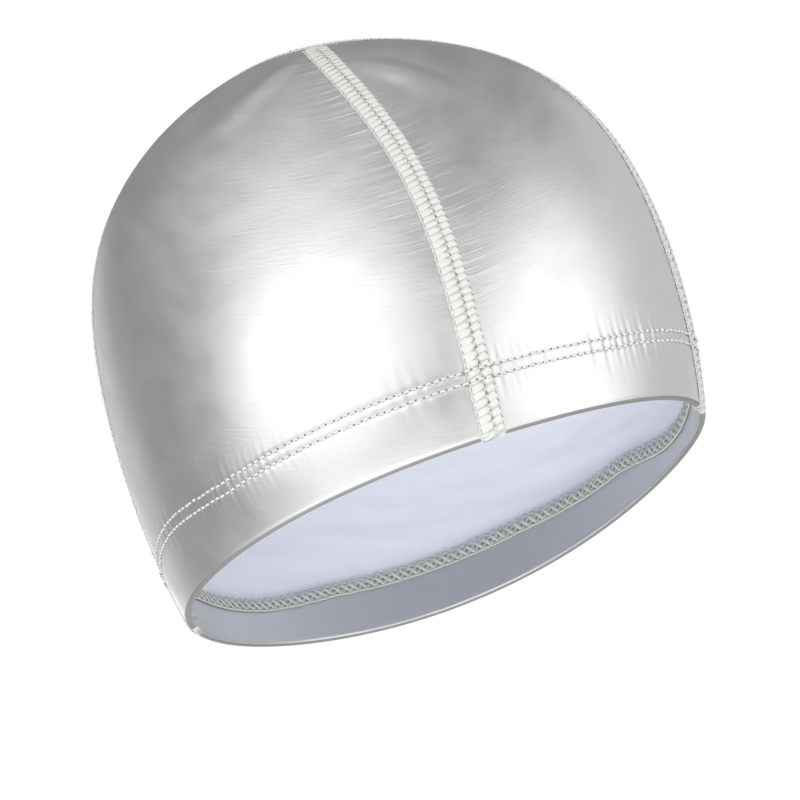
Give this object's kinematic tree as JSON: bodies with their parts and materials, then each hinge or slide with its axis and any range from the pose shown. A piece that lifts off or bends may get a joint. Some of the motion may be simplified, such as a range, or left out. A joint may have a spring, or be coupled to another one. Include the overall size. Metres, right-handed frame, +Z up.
{
  "type": "swim cap",
  "caption": "Close-fitting swim cap of silver coated stretch knit, with flat seams over the crown and down one side and a turned-in hem round the head opening.",
  "frame": {"origin": "middle of the head opening, on the plane through the front and the back of the rim", "axes": "+X towards the front of the wearer's head, +Z up through the crown, +Y towards the panel that has no side seam"},
  "size_m": [0.1949, 0.163, 0.1762],
  "materials": {
    "coated_knit": "silver polyurethane coating on stretch knit, satin and smooth outside, pale knit inside",
    "seam_yarn": "textured polyester yarn in flat seams and cover stitch, pale grey-green and matt"
  },
  "bodies": {
    "root": {"left_panel": "coated_knit", "right_front_panel": "coated_knit", "right_back_panel": "coated_knit", "crown_seam": "seam_yarn", "side_seam": "seam_yarn", "crown_seam_inside": "seam_yarn", "side_seam_inside": "seam_yarn", "hem_cover_stitch": "seam_yarn"}
  },
  "joints": []
}
